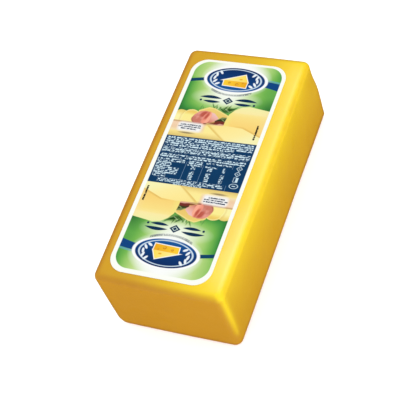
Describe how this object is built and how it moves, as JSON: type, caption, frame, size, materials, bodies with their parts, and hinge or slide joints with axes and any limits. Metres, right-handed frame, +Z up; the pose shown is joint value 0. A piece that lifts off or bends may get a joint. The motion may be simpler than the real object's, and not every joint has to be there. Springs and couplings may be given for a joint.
{
  "type": "cheese block",
  "caption": "Whole rectangular block of semi-hard cheese in a smooth yellow coating, softly rounded on every edge, with a rounded rectangular paper label stuck flat on its top.",
  "frame": {"origin": "middle of the block's underside, on the surface it lies on", "axes": "+Z up, +Y along the block's length, +X across it; the end at -Y and the long wall at +X are the ones seen in the reference view"},
  "size_m": [0.126, 0.27, 0.0863],
  "materials": {
    "coating": "satin yellow cheese coating, smooth, faintly uneven, with a soft broad sheen",
    "label": "white coated label paper with satin printing in green, blue, navy and cheese yellow, no lettering"
  },
  "bodies": {
    "root": {"cheese_block": "coating", "top_label": "label"}
  },
  "joints": []
}
